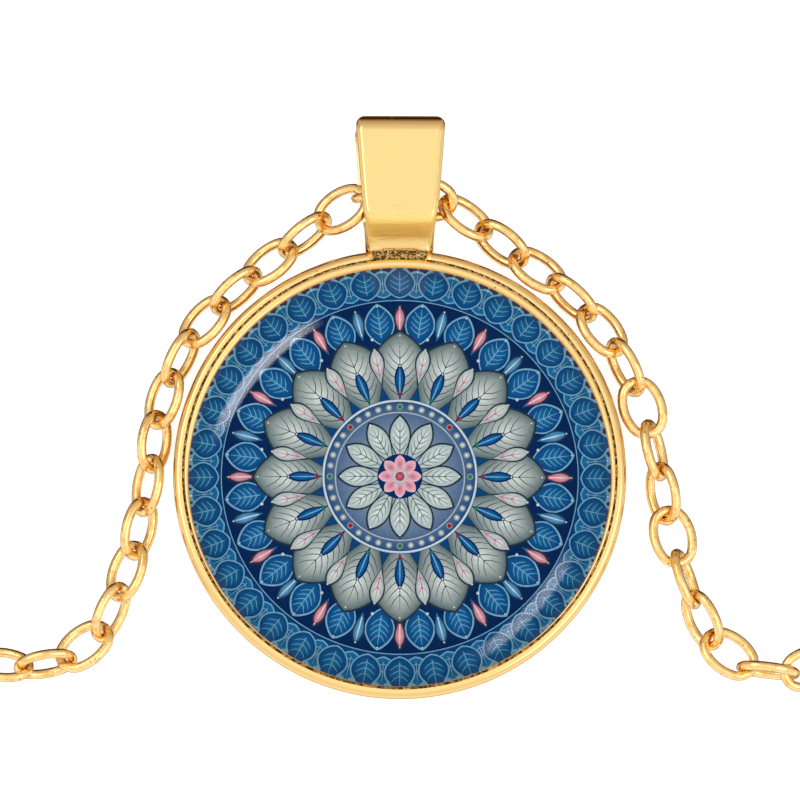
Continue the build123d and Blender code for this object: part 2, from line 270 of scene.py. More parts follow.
def gold_tone_casting(sizes):
    """Zinc alloy casting with a bright yellow plating."""
    # Tumbled, not polished flat: it mirrors the white tent clearly, with a slight waviness, small
    # pits here and there, and rough metal in the groove and in the pocket, painted dark brown there as
    # painted shade in these recesses. The steep stretch of the strap's foot is out of the wheel's
    # reach: satin, with its colour painted paler as painted light, and with fine ripples where the
    # strap bends up from the rim.
    material, tree, shader = new_material("gold_tone_plated_zinc_casting")
    place = add_node(tree, "ShaderNodeTexCoord").outputs["Object"]
    across, along, height = add_node(tree, "ShaderNodeSeparateXYZ", None, {0: place}).outputs
    aside = add_node(tree, "ShaderNodeMath", {"operation": "ABSOLUTE"}, {0: across})
    flat = add_node(tree, "ShaderNodeCombineXYZ", None, {0: across, 1: along})
    radius = add_node(tree, "ShaderNodeVectorMath", {"operation": "LENGTH"}, {0: flat}).outputs["Value"]
    grain = add_node(
        tree, "ShaderNodeTexNoise", None,
        {"Vector": place, "Scale": per(0.22), "Detail": 2.0, "Roughness": 0.7},
    )
    specks = add_node(
        tree, "ShaderNodeTexVoronoi", None, {"Vector": place, "Scale": per(0.9), "Randomness": 1.0}
    )
    fold_place = add_node(tree, "ShaderNodeMapping", None, {"Vector": place, "Scale": (0.35, 1.0, 1.0)})
    folds = add_node(
        tree, "ShaderNodeTexNoise", None,
        {"Vector": fold_place, "Scale": per(0.5), "Detail": 2.0, "Distortion": 1.2},
    )
    lip = sizes.seat_radius + sizes.lip_wall
    groove = lip + sizes.groove_width
    side = sizes.pocket_width / 2
    rim = sizes.tray_radius
    masks = {
        "folds": folds,
        "bail side": add_node(
            tree, "ShaderNodeMath", {"operation": "GREATER_THAN"}, {0: along, 1: sizes.seat_radius}
        ),
    }
    # Each mask's name, what it measures, where it starts and ends, and its values there
    for name, value, start, end, first, last in (
        ("past lip", radius, lip - 0.03 * MM, lip + 0.01 * MM, 0.0, 1.0),
        ("short of ring", radius, groove + 0.03 * MM, groove, 0.0, 1.0),
        ("upper side", height, sizes.floor, sizes.floor + 0.2 * MM, 0.0, 1.0),
        ("patches", grain, 0.58, 0.44, 0.0, 1.0),
        ("speckle", grain, 0.6, 0.46, 0.25, 1.0),
        ("pocket sides", aside, side + 0.05 * MM, side - 0.08 * MM, 0.0, 1.0),
        ("pocket start", radius, lip, lip + 0.05 * MM, 0.0, 1.0),
        ("pocket end", radius, rim + 0.04 * MM, rim - 0.04 * MM, 0.0, 1.0),
        ("bend", along, rim + 2.6 * MM, rim + 1.0 * MM, 0.0, 1.0),
        ("pits", specks, 0.07, 0.03, 0.0, 0.55),
    ):
        masks[name] = add_node(
            tree, "ShaderNodeMapRange", None,
            {"Value": value, "From Min": start, "From Max": end, "To Min": first, "To Max": last},
        )
    for name, start, end in (
        ("slope start", rim + 0.15 * MM, rim + 0.6 * MM),
        ("slope end", rim + 2.0 * MM, rim + 1.3 * MM),
    ):
        masks[name] = add_node(
            tree, "ShaderNodeMapRange", {"interpolation_type": "SMOOTHSTEP"},
            {"Value": along, "From Min": start, "From Max": end},
        )
    for name, factors in (
        ("painted groove shade", ("past lip", "short of ring", "patches", "upper side")),
        ("painted pocket shade", ("pocket sides", "pocket start", "pocket end", "bail side", "speckle", "upper side")),
        ("slope", ("slope start", "slope end")),
        ("ripples", ("folds", "bend", "slope start")),
    ):
        masks[name] = masks[factors[0]]
        for factor in factors[1:]:
            masks[name] = add_node(
                tree, "ShaderNodeMath", {"operation": "MULTIPLY"}, {0: masks[name], 1: masks[factor]}
            )
    dark = masks["painted groove shade"]
    for other in ("painted pocket shade", "pits"):
        dark = add_node(tree, "ShaderNodeMath", {"operation": "MAXIMUM"}, {0: dark, 1: masks[other]})

    # Painted shade: dark brown is painted into the groove and the pocket, and the pits add dark specks
    plating = add_node(
        tree, "ShaderNodeMix", {"data_type": "RGBA"},
        {"Factor": dark, 6: linear("#F1CC88"), 7: linear("#5C3F1A")},
    )
    # Painted light: the steep stretch of the foot is painted a paler yellow, standing in for a brighter
    # reflection
    tint = add_node(
        tree, "ShaderNodeMix", {"data_type": "RGBA"},
        {"Factor": masks["slope"], 6: plating.outputs[2], 7: linear("#FFE08C")},
    )
    rough = add_node(tree, "ShaderNodeMapRange", None, {"Value": dark, "To Min": 0.12, "To Max": 0.5})
    satin = add_node(
        tree, "ShaderNodeMapRange", None, {"Value": masks["slope"], "To Min": 0.12, "To Max": 0.55}
    )
    roughness = add_node(tree, "ShaderNodeMath", {"operation": "MAXIMUM"}, {0: rough, 1: satin})
    wave = add_node(tree, "ShaderNodeTexNoise", None, {"Vector": place, "Scale": per(1.6), "Detail": 1.0})
    crumb = add_node(tree, "ShaderNodeMath", {"operation": "MULTIPLY"}, {0: grain, 1: dark})
    relief = {}
    for shape, depth in ((wave, 0.02 * MM), (masks["ripples"], 0.07 * MM), (crumb, 0.08 * MM)):
        bump = add_node(
            tree, "ShaderNodeBump", None, {"Height": shape, "Strength": 1.0, "Distance": depth, **relief}
        )
        relief = {"Normal": bump}
    set_inputs(shader, {"Metallic": 1.0, "Base Color": tint.outputs[2], "Roughness": roughness, **relief})
    return material


def gold_tone_wire(name):
    """Drawn steel wire with a bright yellow plating."""
    # Drawn and tumbled: a soft mirror, finely mottled from yellow to orange, with a few dark specks.
    material, tree, shader = new_material(name)
    place = add_node(tree, "ShaderNodeTexCoord").outputs["Object"]
    mottle = add_node(
        tree, "ShaderNodeTexNoise", None,
        {"Vector": place, "Scale": per(0.35), "Detail": 3.0, "Roughness": 0.65},
    )
    warm = add_node(tree, "ShaderNodeMapRange", None, {"Value": mottle, "From Min": 0.46, "From Max": 0.7})
    plating = add_node(
        tree, "ShaderNodeMix", {"data_type": "RGBA"},
        {"Factor": warm, 6: linear("#FCD894"), 7: linear("#F2B868")},
    )
    specks = add_node(
        tree, "ShaderNodeTexVoronoi", None, {"Vector": place, "Scale": per(0.5), "Randomness": 1.0}
    )
    pits = add_node(
        tree, "ShaderNodeMapRange", None,
        {"Value": specks, "From Min": 0.14, "From Max": 0.07, "To Max": 0.75},
    )
    tint = add_node(
        tree, "ShaderNodeMix", {"data_type": "RGBA"},
        {"Factor": pits, 6: plating.outputs[2], 7: linear("#6B3F1A")},
    )
    grain = add_node(
        tree, "ShaderNodeBump", None, {"Height": mottle, "Strength": 1.0, "Distance": 0.02 * MM}
    )
    set_inputs(
        shader, {"Metallic": 1.0, "Roughness": 0.14, "Base Color": tint.outputs[2], "Normal": grain}
    )
    return material


def clear_glass():
    """Soda-lime glass, pressed and fire polished."""
    # Colourless and perfectly smooth: it shows the print beneath, slightly larger, and the lights.
    material, _, shader = new_material("clear_soda_lime_glass")
    set_inputs(
        shader,
        {"Base Color": (1.0, 1.0, 1.0, 1.0), "Roughness": 0.0, "IOR": 1.3, "Transmission Weight": 1.0},
    )
    return material


def printed_paper():
    """Colour print on coated paper."""
    # The ink lies in the paper, with a faint unevenness of its dots. Glued under the glass, the
    # paper has no gloss of its own.
    material, tree, shader = new_material("colour_print_on_coated_paper")
    place = add_node(tree, "ShaderNodeTexCoord").outputs["Object"]
    ink = add_node(tree, "ShaderNodeAttribute", {"attribute_name": "ink"}).outputs["Color"]
    dots = add_node(
        tree, "ShaderNodeTexNoise", None,
        {"Vector": place, "Scale": per(0.2), "Detail": 2.0, "Roughness": 0.6},
    )
    shade = add_node(tree, "ShaderNodeMapRange", None, {"Value": dots, "To Min": 0.78, "To Max": 1.16})
    tint = add_node(tree, "ShaderNodeVectorMath", {"operation": "SCALE"}, {0: ink, "Scale": shade})
    set_inputs(shader, {"Base Color": tint, "Roughness": 0.45, "Specular IOR Level": 0.0})
    return material


def plain_card():
    """The card's own white paper, at its edge and back."""
    material, _, shader = new_material("white_card")
    set_inputs(shader, {"Base Color": linear("#E8E6E0"), "Roughness": 0.6})
    return material


def tray_profile(sizes):
    """The tray's section from the middle of its back, round the rim, to the middle of its floor."""
    # The small corners are softened by this much
    edge = 0.05 * MM
    top = sizes.tray_height
    lip = sizes.seat_radius + sizes.lip_wall
    groove = lip + sizes.groove_width
    deep = top - sizes.groove_depth
    ring = (sizes.tray_radius - sizes.ring_round, top - sizes.ring_round)
    lip_height = top + sizes.lip_rise - sizes.lip_round
    foot = sizes.tray_radius - sizes.draft
    return [
        (0.0, 0.0),
        (foot * 0.5, 0.0),
        (foot - sizes.back_bevel - edge, 0.0),
        (foot - sizes.back_bevel + edge / 2, edge / 2),
        (foot - edge / 2, sizes.back_bevel - edge / 2),
        (foot + edge / 4, sizes.back_bevel + edge),
        (sizes.tray_radius - sizes.draft * 0.35, ring[1] * 0.7),
        *arc(ring, sizes.ring_round, 0, 90, 14),
        (groove + edge, top),
        *arc((groove + edge / 2, top - edge / 2), edge / 2, 90, 180, 3),
        (groove, deep + edge),
        (groove - edge / 2, deep),
        (lip + edge / 2, deep),
        (lip, deep + edge),
        (lip, (deep + lip_height) / 2),
        *arc((lip - sizes.lip_round, lip_height), sizes.lip_round, 0, 90, 6),
        *arc((sizes.seat_radius + sizes.lip_round, lip_height), sizes.lip_round, 90, 180, 6),
        (sizes.seat_radius, sizes.floor + edge),
        (sizes.seat_radius - edge, sizes.floor),
        (sizes.seat_radius * 0.5, sizes.floor),
        (0.0, sizes.floor),
    ]


def rounded_outline(corners, radii, gap):
    """A closed outline with each corner rounded, and its outward directions, at even steps."""
    path = []
    count = len(corners)
    steps_round = 16
    for i in range(count):
        here = Vector(corners[i])
        back = (Vector(corners[i - 1]) - here).normalized()
        ahead = (Vector(corners[(i + 1) % count]) - here).normalized()
        if radii[i] == 0:
            path.append(here)
            continue
        half = back.angle(ahead) / 2
        reach = radii[i] / math.tan(half)
        middle = here + (back + ahead).normalized() * (radii[i] / math.sin(half))
        first = here + back * reach - middle
        last = here + ahead * reach - middle
        sweep = first.angle_signed(last)
        for step in range(steps_round + 1):
            turn = Matrix.Rotation(-sweep * step / steps_round, 2)
            path.append(middle + turn @ first)
    lengths = [0.0]
    for a, b in zip(path, path[1:] + path[:1]):
        lengths.append(lengths[-1] + (b - a).length)
    steps = round(lengths[-1] / gap)
    marks = np.linspace(0, lengths[-1], steps, endpoint=False)
    ring = np.array([tuple(p) for p in path + path[:1]])
    even = np.stack([np.interp(marks, lengths, ring[:, k]) for k in range(2)], 1)
    along = np.roll(even, -1, 0) - np.roll(even, 1, 0)
    along /= np.linalg.norm(along, axis=1)[:, None]
    outward = np.stack([along[:, 1], -along[:, 0]], 1)
    return even, outward


def hole_points(outline, low, high, corner):
    """For each point of the outline, the point of the rounded hole in the same direction."""
    centre = (low + high) / 2
    half = (high - low) / 2
    scaled = (outline - centre) / half
    turns = np.unwrap(np.arctan2(scaled[:, 1], scaled[:, 0]))
    # The directions never turn back, and no two are the same
    turns = np.maximum.accumulate(turns) + np.linspace(0, 1e-4, len(turns))
    found = []
    for turn in turns:
        ray = np.array([math.cos(turn), math.sin(turn)]) * half
        reach = 1 / max(abs(ray[0]) / half[0], abs(ray[1]) / half[1])
        spot = ray * reach
        inner = half - corner
        if abs(spot[0]) > inner[0] and abs(spot[1]) > inner[1]:
            mid = np.sign(spot) * inner
            away = spot - mid
            spot = mid + away / np.linalg.norm(away) * corner
        found.append(spot + centre)
    return np.array(found)


def ring_faces(rows, per_row):
    """Faces between closed rows of points, the last row joined to the first."""
    faces = []
    for i in range(rows):
        here = i * per_row
        ahead = (i + 1) % rows * per_row
        for k in range(per_row):
            m = (k + 1) % per_row
            faces.append((here + k, here + m, ahead + m, ahead + k))
    return faces


def bail_mesh(sizes):
    """Points and faces of the strap: a thick plate in section, swept round its side outline."""
    # The strap starts inside the rim, and its root width is that of a spot a little further in
    root = sizes.tray_radius - 0.17 * MM
    width_start = root - 0.26 * MM
    # The foot is pinched most next to the rim, and no more from pinch_end on
    pinch_end = sizes.tray_radius + 2.6 * MM
    pinch_run = 1.9 * MM
    flare_share = 0.9
    inner_bevel = 0.03 * MM
    front_steps = 11
    edge_steps = 6
    corners = [
        (root, 0.0),
        (sizes.bail_end, 0.0),
        (sizes.bail_end, sizes.bail_height),
        (sizes.tray_radius + sizes.foot_run, sizes.bail_height),
        (sizes.tray_radius + sizes.foot_reach, sizes.tray_height),
        (root, sizes.tray_height),
    ]
    radii = [0, sizes.bend_outer, sizes.bend_outer, sizes.foot_bend, sizes.foot_hollow, 0]
    outline, outward = rounded_outline(corners, radii, 0.09 * MM)
    hole_low = np.array([sizes.tray_radius + sizes.bail_nose, sizes.bail_wall])
    hole_high = np.array([sizes.bail_end, sizes.bail_height]) - sizes.bail_wall
    hole = hole_points(outline, hole_low, hole_high, sizes.bend_inner)
    edge = sizes.bail_edge
    flare_start = math.sqrt(sizes.tray_radius**2 - (sizes.bail_root_width / 2) ** 2)

    def half_width(y, z):
        share = (y - width_start) / (sizes.bail_end - width_start)
        width = sizes.bail_root_width + (sizes.bail_end_width - sizes.bail_root_width) * share
        into = min(max(y - flare_start, 0.0), sizes.foot_flare)
        flare = sizes.foot_flare - math.sqrt(max(sizes.foot_flare**2 - (sizes.foot_flare - into) ** 2, 0))
        if z > sizes.tray_height - sizes.ring_round:
            flare *= max(0.0, 1 - (z - sizes.tray_height + sizes.ring_round) / sizes.ring_round)
        share = min(max((pinch_end - y) / pinch_run, 0.0), 1.0)
        pinch = sizes.foot_pinch * share * share * (3 - 2 * share)
        corner = sizes.bail_corner
        past = min(max(y - (sizes.bail_end - edge - corner), 0.0), corner)
        return width / 2 + flare * flare_share - pinch - (corner - math.sqrt(corner**2 - past**2))

    points = []
    for (y, z), (ny, nz), (hy, hz) in zip(outline, outward, hole):
        deep_y = y - ny * edge
        deep_z = z - nz * edge
        wide = half_width(deep_y, deep_z)
        half_row = [((wide - edge) * k / front_steps, y, z) for k in range(1, front_steps + 1)]
        for k in range(1, edge_steps + 1):
            turn = math.pi / 2 * k / edge_steps
            lift = edge * math.cos(turn)
            half_row.append((wide - edge + edge * math.sin(turn), deep_y + ny * lift, deep_z + nz * lift))
        hole_wide = half_width(hy, hz)
        for share in (0.5, 0.97):
            mid_y = deep_y + (hy - deep_y) * share
            mid_z = deep_z + (hz - deep_z) * share
            half_row.append((wide + (hole_wide - wide) * share, mid_y, mid_z))
        half_row.append((hole_wide - inner_bevel, hy, hz))
        half_row.append((hole_wide / 2, hy, hz))
        points += [(0.0, y, z), *half_row, (0.0, hy, hz)]
        points += [(-px, py, pz) for px, py, pz in reversed(half_row)]
    return points, ring_faces(len(outline), len(points) // len(outline))


def roughness_at(x, y):
    """A fixed, uneven number from -1 to 1 that changes over about 0.3 mm."""
    x = x / MM
    y = y / MM
    waves = math.sin(17.3 * x + 3.1 * math.sin(7.7 * y)) + math.sin(23.9 * y + 2.3 * math.sin(11.2 * x))
    return waves / 2


# The rim's unevenness: each wave's share, its number round the rim and its start; the sum of the
# shares; and how far in and down a unit of it moves the rim
RIM_WAVES = ((1.0, 9, 1.2), (0.7, 23, 0.4), (0.5, 61, 2.0))
RIM_SWELL = 2.2
RIM_IN = 0.0035 * MM
RIM_DOWN = 0.002 * MM


def cast_detail(point, sizes):
    """Shift the seat, sink the pocket's floor and give the rim the slight unevenness of a casting."""
    x, y, z = point
    hair = 0.001 * MM
    radius = math.hypot(x, y)
    lip = sizes.seat_radius + sizes.lip_wall
    past_lip = radius > lip + 0.02 * MM
    if radius < lip and z > sizes.floor - hair:
        return (x, y + SEAT_SHIFT * min((lip - radius) / sizes.lip_wall, 1.0), z)
    in_pocket = abs(x) < sizes.pocket_width / 2 and y > 0 and past_lip
    if in_pocket and radius < sizes.tray_radius + 0.02 * MM and z > sizes.floor:
        floor = sizes.tray_height - sizes.pocket_depth + 0.05 * MM * roughness_at(x, y)
        return (x, y, min(z, floor))
    if past_lip and radius < sizes.tray_radius + hair and z > sizes.floor:
        turn = math.atan2(y, x)
        swell = RIM_SWELL + sum(share * math.sin(waves * turn + start) for share, waves, start in RIM_WAVES)
        shrink = 1 - swell * RIM_IN / sizes.tray_radius
        return (x * shrink, y * shrink, z - swell * RIM_DOWN)
    return point


def build_casting(sizes):
    """The tray and its bail as one casting."""
    points, faces = lathe(tray_profile(sizes), 480)
    strap_points, strap_faces = bail_mesh(sizes)
    faces += [tuple(len(points) + i for i in face) for face in strap_faces]
    points = [cast_detail(point, sizes) for point in points + strap_points]
    casting = make_piece("tray_with_bail_casting", points, faces, gold_tone_casting(sizes))
    place_piece(casting, "gold_plated_casting", "tray_with_bail")


def build_glass(sizes):
    """The domed glass, turned from one profile."""
    girdle_top = sizes.bottom + sizes.girdle
    rise = sizes.top - girdle_top
    ball = (sizes.radius**2 + rise**2) / (2 * rise)
    spread = math.degrees(math.asin(sizes.radius / ball))
    dome = arc((0.0, sizes.top - ball), ball, 90 - spread, 90, 72)
    soft = sizes.edge_round
    profile = [
        (0.0, sizes.bottom),
        (sizes.radius * 0.5, sizes.bottom),
        (sizes.radius - sizes.chamfer - soft, sizes.bottom),
        (sizes.radius - sizes.chamfer, sizes.bottom + soft * 0.1),
        (sizes.radius - soft * 0.1, sizes.bottom + sizes.chamfer),
        (sizes.radius, sizes.bottom + sizes.chamfer + soft),
        (sizes.radius, girdle_top - soft),
        (sizes.radius - soft * 0.15, girdle_top - soft * 0.3),
        *dome[1:-1],
        (0.0, sizes.top),
    ]
    points, faces = lathe(profile, 256)
    points = [(x, y + SEAT_SHIFT, z) for x, y, z in points]
    glass = make_piece("glass_dome", points, faces, clear_glass())
    glass.visible_glossy = False
    place_piece(glass, "clear_glass", "glass_cabochon")


class PrintedPicture:
    """Flat shapes in millimetres, laid one over another, with inks that run from heart to rim."""

    def __init__(self, look):
        self.look = look
        self.points = []
        self.faces = []
        self.inks = []
        self.level = look.height + look.ply

    def next_ply(self):
        self.level += self.look.ply

    def add_point(self, x, y, ink):
        self.points.append((x * MM, y * MM + SEAT_SHIFT, self.level))
        self.inks.append(tuple(ink))
        return len(self.points) - 1

    def lay(self, outline, rim, heart=None, at=None):
        """One shape: its outline in the rim's ink, and a heart in its own ink."""
        heart = rim if heart is None else heart
        if at is None:
            at = (sum(p[0] for p in outline) / len(outline), sum(p[1] for p in outline) / len(outline))
        middle = self.add_point(*at, heart)
        first = [self.add_point(x, y, rim) for x, y in outline]
        for a, b in zip(first, first[1:] + first[:1]):
            self.faces.append((middle, a, b))

    def stroke(self, line, widths, ink):
        """A line of changing width."""
        sides = []
        for i, (x, y) in enumerate(line):
            before = line[max(i - 1, 0)]
            after = line[min(i + 1, len(line) - 1)]
            run = math.hypot(after[0] - before[0], after[1] - before[1]) or 1.0
            nx = -(after[1] - before[1]) / run * widths[i] / 2
            ny = (after[0] - before[0]) / run * widths[i] / 2
            sides.append((self.add_point(x + nx, y + ny, ink), self.add_point(x - nx, y - ny, ink)))
        for (a, b), (c, d) in zip(sides, sides[1:]):
            self.faces.append((a, b, d, c))

    def band(self, inner, outer, inner_ink, outer_ink):
        """A ring between two radii."""
        pairs = []
        for turn in around(240):
            low, high = (
                self.add_point(radius * math.cos(turn), radius * math.sin(turn), ink)
                for radius, ink in ((inner, inner_ink), (outer, outer_ink))
            )
            pairs.append((low, high))
        for (a, b), (c, d) in zip(pairs, pairs[1:] + pairs[:1]):
            self.faces.append((a, c, d, b))


def petal(start, end, half, belly, tip=0.8, steps=14):
    """Outline of a petal that lies along X, widest at the belly's share of its length."""
    power = math.log(0.5) / math.log(belly)
    upper = []
    for i in range(steps + 1):
        share = i / steps
        swell = math.sin(math.pi * share**power) ** tip
        upper.append((start + (end - start) * share, half * swell))
    return upper + [(x, -y) for x, y in reversed(upper[1:-1])]


def turned(outline, turn, flip=1):
    """The outline turned about the picture's centre, and mirrored first if flip is -1."""
    c = math.cos(turn)
    s = math.sin(turn)
    return [(x * c - y * flip * s, x * s + y * flip * c) for x, y in outline]


def draw_bead(art, turn, reach, half, steps, rim, heart=None):
    """A round bead at this distance from the picture's centre, with its own half width."""
    outline = [(reach + half * math.cos(t), half * math.sin(t)) for t in around(steps)]
    art.lay(turned(outline, turn), rim, heart)


def draw_leaf(art, turn, shape, outline, body, heart, vein, pairs):
    """A petal with an outline, and a middle vein with pairs of side veins, one over another."""
    # In millimetres; the belly, the veins' roots and the spine are shares of the length
    start, end, half, belly, tip = shape
    length = end - start
    line = 0.09
    steps = 20
    art.lay(turned(petal(start, end, half, belly, tip, steps), turn), outline)
    art.next_ply()
    body_shape = petal(start + line, end - line * 1.6, half - line, belly, tip, steps)
    middle = turned([(start + length * belly, 0.0)], turn)[0]
    art.lay(turned(body_shape, turn), body, heart, middle)
    art.next_ply()
    spine = [(start + length * share, 0.0) for share in (0.18, 0.5, 0.86)]
    art.stroke(turned(spine, turn), (0.05, 0.06, 0.02), vein)
    for pair in range(pairs):
        root = 0.25 + 0.5 * pair / pairs
        reach = half * 0.62 * math.sin(math.pi * min(root + 0.14, 0.95)) ** tip
        rib = [(root, 0.0), (root + 0.07, reach * 0.55), (root + 0.17, reach)]
        rib = [(start + length * share, side) for share, side in rib]
        for flip in (1, -1):
            art.stroke(turned(rib, turn, flip), (0.05, 0.045, 0.02), vein)
    draw_bead(art, turn, start + length * 0.93, 0.05, 6, art.look.pale)


def draw_ring(art, angles, *leaf):
    """The same leaf at each angle, all on the same plies: its shape, four inks and pairs of veins."""
    level = art.level
    for turn in angles:
        art.level = level
        draw_leaf(art, turn, *leaf)
    art.next_ply()


# A band round the very middle starts at this radius, in mm, too small to show
PINHOLE = 0.0005


def draw_ground(art):
    """The blue ground, deeper towards the rim, with two rows of leaves and a thin line round it."""
    look = art.look
    art.band(9.8, look.radius / MM, look.royal, look.night)
    art.band(PINHOLE, 9.8, look.royal, look.royal)
    art.next_ply()
    rear = (10.4, 12.3, 0.86, 0.5, 0.6)
    draw_ring(art, around(36, 0.5), rear, look.sky, look.bright, look.royal, look.sky, 2)
    front = (10.35, 12.5, 0.92, 0.5, 0.6)
    draw_ring(art, around(36), front, look.sky, look.royal, look.bright, look.sky, 3)
    art.next_ply()
    art.band(10.2, 10.26, look.sky, look.sky)


def draw_outer_petals(art):
    """Leaves of blue and rose between the rim and the middle."""
    look = art.look
    art.next_ply()
    art.band(7.0, 10.2, look.night, look.night)
    art.next_ply()
    broad = (7.5, 10.1, 0.86, 0.5, 0.75)
    draw_ring(art, around(24, 0.5), broad, look.sky, look.royal, look.bright, look.sky, 4)
    slim = (7.9, 10.0, 0.36, 0.6, 0.8)
    draw_ring(art, around(24), slim, look.slate, look.bright, look.sky, look.pale, 0)
    pink = (8.1, 9.9, 0.34, 0.6, 0.8)
    draw_ring(art, around(12), pink, look.slate, look.rose, look.blush, look.pale, 0)


def draw_middle_petals(art):
    """The broad light mass: two rows of silver leaves, one row over the other, with blue in them."""
    look = art.look
    art.next_ply()
    broad = (3.2, 8.4, 1.5, 0.62, 0.8)
    for row in range(2):
        draw_ring(art, around(8, row / 2), broad, look.slate, look.grey, look.pale, look.slate, 6)
    slim = (4.2, 6.4, 0.3, 0.6, 0.9)
    draw_ring(art, around(16), slim, look.night, look.royal, look.bright, look.sky, 0)
    narrow = (5.2, 7.5, 0.44, 0.62, 0.8)
    draw_ring(art, around(16, 0.5), narrow, look.slate, look.silver, look.pale, look.rose, 2)
    for k, turn in enumerate(around(16)):
        draw_bead(art, turn, 4.62, 0.1, 8, look.leaf if k % 2 else look.ruby)
        draw_bead(art, turn + math.pi / 16, 7.95, 0.1, 8, look.silver, look.pale)


def draw_heart(art):
    """Rings of beads and a star flower in the middle."""
    look = art.look
    art.next_ply()
    art.band(PINHOLE, 4.35, look.silver, look.royal)
    art.next_ply()
    art.band(4.2, 4.32, look.pale, look.silver)
    art.band(3.55, 3.62, look.silver, look.silver)
    beads = around(40)
    for turn in beads:
        draw_bead(art, turn, 3.9, 0.2, 10, look.grey, look.pale)
    art.next_ply()
    # Every fifth bead is a small stone, red and green in turn
    for k, turn in enumerate(beads[::5]):
        draw_bead(art, turn, 3.9, 0.13, 8, look.ruby if k % 2 else look.leaf)
    art.next_ply()
    star = (0.7, 3.5, 0.62, 0.6, 0.8)
    draw_ring(art, around(12), star, look.slate, look.silver, look.pale, look.grey, 4)
    art.next_ply()
    draw_bead(art, 0.0, 0.0, 1.25, 40, look.night, look.royal)
    art.next_ply()
    for turn in around(8):
        art.lay(turned(petal(0.15, 1.2, 0.3, 0.6), turn), look.blush, look.rose)
    art.next_ply()
    draw_bead(art, 0.0, 0.0, 0.42, 20, look.silver, look.pale)
    art.next_ply()
    draw_bead(art, 0.0, 0.0, 0.26, 16, look.ruby, look.rose)


def build_print(look):
    """The picture on the card: a round ornament of leaves and beads."""
    art = PrintedPicture(look)
    for draw in (draw_ground, draw_outer_petals, draw_middle_petals, draw_heart):
        draw(art)
    picture = make_piece("printed_picture", art.points, art.faces, printed_paper(), flat=True)
    inks = picture.data.attributes.new("ink", "FLOAT_COLOR", "POINT")
    inks.data.foreach_set("color", np.array(art.inks, np.float32).ravel())
    place_piece(picture, "printed_card")
    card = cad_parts["printed_card"]
    card.data.materials.clear()
    card.data.materials.append(plain_card())
    # The metal's reflections show neither the glass nor the print, only the gold round them
    for item in (picture, card):
        item.visible_glossy = False


def loose_parts(mesh):
    """Centre and axes of each loose part of a mesh of triangles: its long axis and its wide axis."""
    spots = np.zeros(len(mesh.vertices) * 3, np.float32)
    mesh.vertices.foreach_get("co", spots)
    spots = spots.reshape(-1, 3).astype(float)
    corners = np.zeros(len(mesh.loops), np.int64)
    mesh.loops.foreach_get("vertex_index", corners)
    corners = corners.reshape(-1, 3)
    # Points in the same cell, 0.0002 mm wide, are one point
    cell = 2e-7
    cells = np.round(spots / cell).astype(np.int64)
    cells -= cells.min(0)
    spans = cells.max(0) + 1
    keys = (cells[:, 0] * spans[1] + cells[:, 1]) * spans[2] + cells[:, 2]
    names, merged = np.unique(keys, return_inverse=True)
    triangles = merged[corners]
    # Each point takes the lowest label that its triangles hold, until nothing changes
    labels = np.arange(len(names))
    while True:
        lowest = labels[triangles].min(1)
        fresh = labels.copy()
        for k in range(3):
            np.minimum.at(fresh, triangles[:, k], lowest)
        fresh = fresh[fresh]
        if np.array_equal(fresh, labels):
            break
        labels = fresh
    owner = np.unique(labels[triangles[:, 0]], return_inverse=True)[1]
    a, b, c = (spots[corners[:, k]] for k in range(3))
    middle = (a + b + c) / 3
    area = np.linalg.norm(np.cross(b - a, c - a), axis=1) / 2
    total = np.bincount(owner, area)
    centres = np.stack([np.bincount(owner, area * middle[:, k]) for k in range(3)], 1) / total[:, None]
    away = middle - centres[owner]
    found = [
        np.bincount(owner, area * away[:, i] * away[:, j]) / total for i in range(3) for j in range(3)
    ]
    axes = np.linalg.eigh(np.stack(found, 1).reshape(-1, 3, 3))[1]
    return centres, axes[:, :, 2], axes[:, :, 1]


def link_mesh(name, sizes, end_steps, side_steps, sides):
    """One link lying flat along X: round wire along two end arcs and two side arcs."""
    wire_radius = sizes.wire / 2
    reach = sizes.length / 2 - wire_radius
    half = sizes.width / 2 - wire_radius
    end = sizes.end_radius
    end_centre = reach - end
    side = (end_centre**2 + half**2 - end**2) / (2 * (half - end))
    side_centre = side - half
    join = math.degrees(math.atan2(side_centre, end_centre))
    line = arc((end_centre, 0), end, -join, join, end_steps)[:-1]
    line += arc((0, -side_centre), side, join, 180 - join, side_steps)[:-1]
    line += arc((-end_centre, 0), end, 180 - join, 180 + join, end_steps)[:-1]
    line += arc((0, side_centre), side, 180 + join, 360 - join, side_steps)[:-1]
    count = len(line)
    points = []
    for i, (x, y) in enumerate(line):
        before = line[i - 1]
        after = line[(i + 1) % count]
        run = Vector((after[0] - before[0], after[1] - before[1])).normalized()
        for turn in around(sides):
            out = wire_radius * math.cos(turn)
            points.append((x + run.y * out, y - run.x * out, wire_radius * math.sin(turn)))
    faces = [(a, d, c, b) for a, b, c, d in ring_faces(count, sides)]
    mesh = bpy.data.meshes.new(name)
    mesh.from_pydata(points, [], faces)
    mesh.polygons.foreach_set("use_smooth", [True] * len(faces))
    return add_object(name, mesh)


